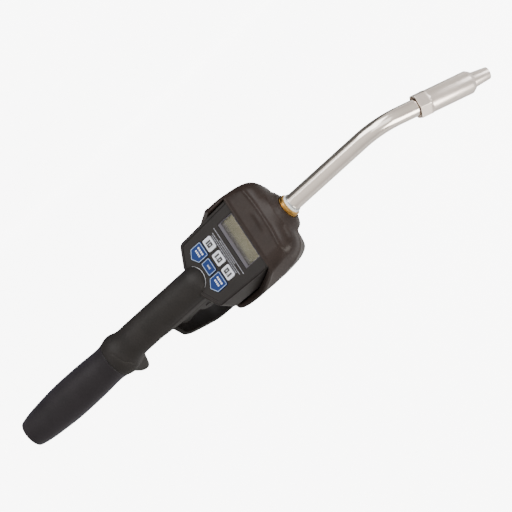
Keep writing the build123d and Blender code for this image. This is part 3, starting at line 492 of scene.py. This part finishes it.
def bumper_edge(x, y):
    """Height of the bumper's rear edge, and how much longer the edge is than its run along X.

    The edge is level behind turn_x and climbs ahead of it. It stands higher on one side.
    """
    low_z, turn_x, run, climb, lead = -27.5, 238, 15, 15.3, 20
    x = x + lead * ease(y, 8, 30)
    rise = np.log1p(np.exp((x - turn_x) / run))
    slope = climb / run * (1 - np.exp(-rise))
    return low_z + climb * rise, np.sqrt(1 + slope ** 2)


def label_swell(x, y):
    """Raised band across the top, behind the slope to the outlet, with a bead along each edge."""
    ridge = RIDGE_X - y ** 2 / 400
    band = ease(x, LIP_X + 2.2, LIP_X + 4.5) * (1 - ease(x, ridge - 1.0, ridge + 1.8))
    bead = 0.8 * np.exp(-((x - ridge + 0.8) / 1.0) ** 2)
    lip = 0.55 * np.exp(-((x - LIP_X - 1.0) / 0.9) ** 2)
    return (1.3 * band + bead + lip) * (1 - ease(np.abs(y), 29, 38))


def bumper_field(x, y, z):
    """Bumper with its neck, cut along its rear edge and hollowed for the case and the outlet."""
    plan = outline_distance(x[:, :, 0], y[:, :, 0], BUMPER_PLAN)[:, :, None]
    edge, steepness = bumper_edge(x, y)
    lean = 0.05 * ease(x, 262, 300)
    side = plan + np.where(z > BREAK_Z, (z - BREAK_Z) * lean, (BREAK_Z - z) * TAPER)
    side = side + 3.0 * ease(x, 286, 306) * ease(-z, -3, 14) + 2.5 * ease(x, 292, 310) * ease(-z, 10, 30)
    rim = 0.5 * np.exp(-((z - edge + 1.8) / 1.5) ** 2)
    cap = np.maximum(z - BUMPER_TOP_Z - label_swell(x, y), BUMPER_LOW[2] - z)
    radius = np.where(z > BREAK_Z, 7 + 4 * ease(x, 290, 306), 13)
    body = rounded_cut(side - rim, cap, radius)
    neck_r = np.interp(x, [296, 310.8, 312.6, 314.4, NECK_X], [22, 19.8, 17.0, 14.2, 12.9])
    body = smooth_min(body, cylinder_x(x, y, z, neck_r, OUTLET_Z, 296, NECK_X), 5.0)
    cut = np.minimum((z - edge) / steepness, LIP_X - x)
    body = smooth_max(body, cut, 1.6)

    case = outline_distance(x[:, :, 0], y[:, :, 0], CASE_PLAN)[:, :, None] - CASE_GAP
    case = case + np.where(z > BREAK_Z, 0, (BREAK_Z - z) * TAPER)
    hollow_low_z, hollow_high_z = -34.3, 12.9
    open_top = -9.0                   # behind the lip nothing covers the face
    ceiling = np.where(x < LIP_X, open_top, z - hollow_high_z)
    hollow = np.maximum(case, np.maximum(ceiling, hollow_low_z - z))
    # stepped bore for the front of the meter and the outlet fitting
    for r, front_x in ((FITTING_HIGH[1] + 0.15, 330), (14.1, 303.6), (12.1, 305.5)):
        hollow = np.minimum(hollow, cylinder_x(x, y, z, r, OUTLET_Z, 290, front_x))
    guard_slot = block(x, y, z, 190, 224, 14.5, -70, -18)
    return smooth_max(body, -np.minimum(hollow, guard_slot), 0.9)


# ---- grip with its collar and finger stop -------------------------------------------------------

COLLAR_X = 106.5                      # fullest part of the collar
CHEEK_HALF_Y = 15.2                   # flat sides under the grip, beside the valve
HOOK = [(100.5, 0), (98.6, -15), (96.6, -24), (97.4, -34), (99.8, -38.4), (103.2, -39.8), (106.4, -38.8),
        (108.8, -35.5), (118.5, -17), (126, 0)]


def grip_field(x, y, z):
    """Barrel with a round end, collar, finger stop and flat cheeks, less its bores and pockets."""
    centre = GRIP_Z * ease(x, 103, 130)
    collar = 4.0 * np.exp(-((x - COLLAR_X) / np.where(x < COLLAR_X, 11.0, 9.0)) ** 2)
    barrel = np.sqrt(y ** 2 + (z - centre) ** 2) - (GRIP_R + collar)
    end = np.sqrt((x - DOME_X) ** 2 + y ** 2 + (z - GRIP_Z) ** 2)
    body = rounded_cut(np.where(x < DOME_X, barrel, end - GRIP_R), GRIP_LOW[0] - x, 1.2)
    profile = outline_distance(x[:, 0, :], z[:, 0, :], HOOK)[:, None, :]
    body = smooth_min(body, rounded_cut(profile, np.abs(y) - 12.3, 3.4), 5.0)

    cheek_z = GRIP_Z - 15.4 * ease(x, 126, 188)
    cheek = rounded_cut(np.abs(y) - CHEEK_HALF_Y, cheek_z - z, 4.5)
    cheek = np.maximum(cheek, np.maximum(z - GRIP_Z, np.maximum(128 - x, x - 206.9)))
    body = smooth_min(body, cheek, 2.5)
    seam_x = np.interp(-y, [1.8, 9.6, 13.5, 15.8], [107.7, 110.4, 111.0, 114.3])
    body = body + 0.55 * np.exp(-((x - seam_x) / 0.6) ** 2) * ease(-y, 1.0, 2.6) * ease(z, 0, 2)

    hollow = end - 12.6
    # the swivel end of the valve body, the space behind the grip, the valve body and its neck
    for r, axis_z, x0, x1 in ((12.75, 0, 90, 113), (17.9, 0, 90, GRIP_LOW[0]),
                              (12.6, GRIP_Z, 103, DOME_X), (7.15, -1.5, 200, 240)):
        hollow = np.minimum(hollow, cylinder_x(x, y, z, r, axis_z, x0, x1))
    trigger_slot = block(x, y, z, 187.2, 204.3, 13.3, -40, -2)
    stem_hole = hole_z(x, y, z, 7.4, VALVE_X, -5)
    screw_hole = hole_z(x, y, z, 2.0, GUARD_SCREW_X, -5)
    for pocket in (trigger_slot, stem_hole, screw_hole):
        hollow = np.minimum(hollow, pocket)
    return smooth_max(body, -hollow, 0.4)


def add_moulded_pieces():
    """Skins of the bumper, the grip and the boot; the grid steps are in millimetres."""
    piece("bumper_skin", *sculpt(bumper_field, BUMPER_LOW, BUMPER_HIGH, 0.85), "bumper", "bumper_rubber",
          ["nose_bumper"], sharp_deg=60)
    piece("grip_skin", *sculpt(grip_field, GRIP_LOW, GRIP_HIGH, 0.75), "grip", "grip_plastic",
          ["grip_shell"], sharp_deg=60)
    outer = spline([(-7.0, 13.3), (2.5, 15.2), (20, 17.0), (41, 18.2), (70, 17.9), (86, 17.1),
                    (94, 17.2), (98.4, 17.9)], 8)
    rear = [(-9.0, 11.2), (-8.9, 12.0), (-8.4, 12.7)]
    inside = [(98.9, 17.6), (98.9, 13.0), (-0.5, 13.0), (-3, 11.2)]
    piece("boot_skin", *turned(rear + outer + inside), "boot", "boot_rubber", ["swivel_boot"])


# ---- extension tube and nozzle ------------------------------------------------------------------

BEND_X, BEND_R, BEND = 409.6, 50.0, math.radians(45)
TAIL = 19.0                           # straight tube from the bend to the nozzle's rear face
TUBE_IN_NOZZLE = 16.0
TUBE_WALL = 1.2
NOZZLE_X = BEND_X + BEND_R * math.sin(BEND) + TAIL * math.cos(BEND)
NOZZLE_Z = OUTLET_Z - BEND_R * (1 - math.cos(BEND)) - TAIL * math.sin(BEND)


def add_tube():
    """Tube skin: its centre line is straight, bends, then runs straight into the nozzle."""
    path = [(x, OUTLET_Z, 0.0) for x in (TUBE_LOW[0], 340, 380, BEND_X)]
    bend_steps = 40
    for i in range(1, bend_steps + 1):
        a = BEND * i / bend_steps
        path.append((BEND_X + BEND_R * math.sin(a), OUTLET_Z - BEND_R * (1 - math.cos(a)), a))
    end = TAIL + TUBE_IN_NOZZLE
    path.append((path[-1][0] + end * math.cos(BEND), path[-1][1] - end * math.sin(BEND), BEND))
    points, around = [], 96
    for r, line in ((TUBE_R, path), (TUBE_R - TUBE_WALL, path[::-1])):
        for x, z, a in line:
            for k in range(around):
                t = 2 * math.pi * k / around
                out = r * math.sin(t)
                points.append((x + out * math.sin(a), r * math.cos(t), z + out * math.cos(a)))
    piece("tube_skin", points, ring_faces(2 * len(path), around, True), "tube", "bright_tube",
          ["extension_tube"])


def on_nozzle(height, r, angle):
    """Point at a height along the nozzle's axis, from its rear face."""
    out = r * math.sin(angle)
    return (NOZZLE_X + height * math.cos(BEND) + out * math.sin(BEND), r * math.cos(angle),
            NOZZLE_Z - height * math.sin(BEND) + out * math.cos(BEND))


FLAT_DISTANCE = 10.35                 # from the nozzle's axis to its wrench flats
FLAT_END, RUNOUT_END = 9.0, 14.0      # heights where the flats end and where their run-out ends
RUNOUT_R = 8.0
SIXTH = math.pi / 3


def wrench_flat(height, angle):
    """Radius of the nozzle's six wrench flats at a height and an angle round its axis."""
    flat = FLAT_DISTANCE
    if height >= FLAT_END:
        flat += RUNOUT_R - math.sqrt(max(0.0, RUNOUT_R ** 2 - (height - FLAT_END) ** 2))
    return flat / math.cos((angle - math.pi / 2 + SIXTH / 2) % SIXTH - SIXTH / 2)


def nozzle_lathe(profile, flats=False, around=144):
    """Closed (height, r) profile about the nozzle's axis, with wrench flats at the rear if asked."""
    bore_r = 9.0
    points = []
    for h, r in profile:
        for k in range(around):
            t = 2 * math.pi * k / around
            cut = flats and r > bore_r and h < RUNOUT_END
            points.append(on_nozzle(h, min(r, wrench_flat(h, t)) if cut else r, t))
    return points, ring_faces(len(profile), around, True)


def add_nozzle():
    """Skins of the nozzle's body and tip, from profiles of (height, r)."""
    rear = [(0, 9.9), (0, 11.2), (0.25, 11.55), (0.7, 11.9)]
    hexagon = [(h, 11.9) for h in np.arange(1.5, 11.1, 0.5)]
    barrel = [(11.3, 11.7), (11.9, 11.1), (12.6, 10.7), (14, 10.7), (54, 10.7), (54.6, 10.5),
              (58, 8.35), (58, 7.3), (46, 7.3), (46, 8.3), (26, 8.3), (25, 8.9), (9.2, 8.9), (8, 9.9)]
    piece("nozzle_skin", *nozzle_lathe(rear + hexagon + barrel, True), "nozzle", "nozzle_nickel",
          ["nozzle_body"], sharp_deg=25)
    tip = [(46.2, 3.6), (46.2, 7.2), (58.0, 7.2), (59.0, 7.1), (74, 5.7), (74.6, 5.5), (75, 5.0),
           (75, 3.6)]
    piece("nozzle_tip_skin", *nozzle_lathe(tip), "nozzle", "nozzle_nickel", ["nozzle_tip"], sharp_deg=25)


# ---- marks on the keys and the face -------------------------------------------------------------

BORDER_LIFT, PRINT_LIFT = 0.02, 0.03   # height of printed shapes over the surface under them


def rounded_outline(corners, r, steps=5):
    """Outline with its corners rounded, listed in order."""
    out = []
    for i, corner in enumerate(corners):
        p = Vector(corner)
        a = (Vector(corners[i - 1]) - p).normalized()
        b = (Vector(corners[(i + 1) % len(corners)]) - p).normalized()
        half = a.angle(b) / 2
        start, end = p + a * (r / math.tan(half)), p + b * (r / math.tan(half))
        centre = p + (a + b).normalized() * (r / math.sin(half))
        for k in range(steps + 1):
            v = start.lerp(end, k / steps) - centre
            out.append(tuple(centre + v.normalized() * r))
    return out


def shrunk(outline, by):
    """Outline moved inwards towards its middle by about the given distance."""
    pts = np.asarray(outline)
    ahead, behind = np.roll(pts, -1, 0), np.roll(pts, 1, 0)
    along = ahead - behind
    normal = np.stack([along[:, 1], -along[:, 0]], 1) / np.linalg.norm(along, axis=1)[:, None]
    if np.sum((pts - pts.mean(0)) * normal) > 0:
        normal = -normal
    return [tuple(q) for q in pts + normal * by]


def add_flat_marks(name, shapes, z, mat, slot, body):
    """Thin printed shapes: closed outlines, or (outer, inner) pairs that leave a ring."""
    points, faces = [], []
    for shape in shapes:
        first = len(points)
        if isinstance(shape[0], list):
            outer, inner = shape
            n = len(outer)
            points += [(x, y, z) for x, y in outer] + [(x, y, z) for x, y in inner]
            faces += [(first + i, first + (i + 1) % n, first + n + (i + 1) % n, first + n + i)
                      for i in range(n)]
        else:
            points += [(x, y, z) for x, y in shape]
            faces.append(tuple(range(first, first + len(shape))))
    return piece(name, points, faces, mat, slot, body=body)


def bar(x, y, length_x, length_y):
    """Rectangle round a centre."""
    a, b = length_x / 2, length_y / 2
    return [(x - a, y - b), (x + a, y - b), (x + a, y + b), (x - a, y + b)]


DIGIT_WIDTHS = {"1": 2.3, "0": 4.1, ".": 1.5}
DIGIT_HEIGHT = 5.7


def digit_shape(character, x, y):
    """Block-shaped 1, 0 or point centred on its place; the tops of the digits face forwards."""
    if character == "1":
        return bar(x, y, DIGIT_HEIGHT, 1.8)
    if character == "0":
        return bar(x, y, DIGIT_HEIGHT, 3.7), bar(x, y, 2.0, 0.75)
    return bar(x - 1.8, y, 1.1, 1.1)


def add_white_key_marks():
    """Border and number on each white key."""
    inset = 0.45
    for name, text in (("key_tens", "10"), ("key_units", "1.0"), ("key_tenths", "0.1")):
        low, high = limits(name)
        x, y = (low[0] + high[0]) / 2, (low[1] + high[1]) / 2
        a, b = (high[0] - low[0]) / 2 - inset, (high[1] - low[1]) / 2 - inset
        outline = rounded_outline(bar(x, y, 2 * a, 2 * b), 1.2)
        add_flat_marks(name + "_border", [(outline, shrunk(outline, 0.9))], KEY_TOP + BORDER_LIFT,
                       "print_light", "key_white", name + "_cap")
        at, shapes = y + sum(DIGIT_WIDTHS[c] for c in text) / 2, []
        for c in text:
            shapes.append(digit_shape(c, x, at - DIGIT_WIDTHS[c] / 2))
            at -= DIGIT_WIDTHS[c]
        add_flat_marks(name + "_digits", shapes, KEY_TOP + PRINT_LIFT, "print_dark", "key_white",
                       name + "_cap")


def add_blue_key_marks():
    """Border and rows of bars on each blue key; the two outer keys end in a point."""
    inset, shoulder = 0.35, 11.2
    bars, gap = 4, 0.7
    for name in ("key_mode", "key_total", "key_reset"):
        low, high = limits(name)
        x, y = (low[0] + high[0]) / 2, (low[1] + high[1]) / 2
        a, b = (high[1] - low[1]) / 2 - inset, high[0] - inset
        if name == "key_total":
            corners = [(low[0] + inset, y - a), (b, y - a), (b, y + a), (low[0] + inset, y + a)]
            rows = [(x, 3.6)]
        else:
            corners = [(b, y + a), (b - shoulder, y + a), (low[0] + 0.1, y), (b - shoulder, y - a),
                       (b, y - a)]
            rows = [(high[0] - 4.3, 6.8), (high[0] - 7.9, 5.8)]
        outline = rounded_outline(corners, 1.1)
        add_flat_marks(name + "_border", [(outline, shrunk(outline, 0.4))], KEY_TOP + BORDER_LIFT,
                       "print_blue", "key_blue", name + "_cap")
        steps = bars - 1
        shapes = [bar(row_x, y + length * (k / steps - 0.5), 1.7, length / steps - gap)
                  for row_x, length in rows for k in range(bars)]
        add_flat_marks(name + "_bars", shapes, KEY_TOP + PRINT_LIFT, "print_light", "key_blue",
                       name + "_cap")


def add_display_mask_and_shade():
    """Dark frame on the display: narrow printed edges, and a wide band of painted recess shade along the
    edge nearest the keys.
    """
    # wide is the band of painted recess shade along the edge nearest the keys
    margin, wide, side, far = 0.1, 3.4, 0.7, 0.6
    x0, x1, y1 = LCD_LOW[0] + margin, LCD_HIGH[0] - margin, LCD_HIGH[1] - margin
    outer = [(x0, -y1), (x1, -y1), (x1, y1), (x0, y1)]
    inner = [(x0 + wide, -y1 + side), (x1 - far, -y1 + side), (x1 - far, y1 - side),
             (x0 + wide, y1 - side)]
    add_flat_marks("display_mask_and_shade", [(outer, inner)], LCD_HIGH[2] + PRINT_LIFT, "mask_and_shade", "lcd_glass",
                   "housing")


def add_face_dashes():
    """Rows of fine dashes of uneven length between the keys and the display."""
    shapes = []
    rows = ((247.9, -21.5, 20.5), (249.7, -24.0, 22.0), (251.5, -14.0, 12.0), (253.3, -25.5, 24.5))
    for row, (x, y_end, y) in enumerate(rows):
        k = row
        while y > y_end:
            length = 1.1 + 1.3 * ((k * 7) % 5) / 4
            shapes.append(bar(x, y - length / 2, 0.62, length))
            y -= length + 0.6
            k += 1
    add_flat_marks("face_dashes", shapes, FACE_Z + PRINT_LIFT, "print_faint", "case_plastic", "housing")


def add_silver_line():
    """Raised line on the face round the grip's end."""
    section = ((14.0, -0.3), (14.03, 0.1), (14.2, 0.2), (14.4, 0.1), (14.43, -0.3))
    reach, stations = math.radians(54), 49
    points = [(DOME_X + r * math.cos(a), r * math.sin(a), FACE_Z + lift)
              for a in np.linspace(-reach, reach, stations) for r, lift in section]
    around = len(section)
    last = around * (stations - 1)
    faces = ring_faces(stations, around, False)
    faces += [tuple(range(around)), tuple(range(last, last + around))]
    piece("silver_line", points, faces, "silver", "zinc_steel")


right, up, back, target = set_camera()
set_studio(right, up, back, target)
mats = make_materials()
dress_cad_nodes()
squash_valve_spring()
add_moulded_pieces()
add_tube()
add_nozzle()
add_white_key_marks()
add_blue_key_marks()
add_face_dashes()
add_silver_line()
add_display_mask_and_shade()
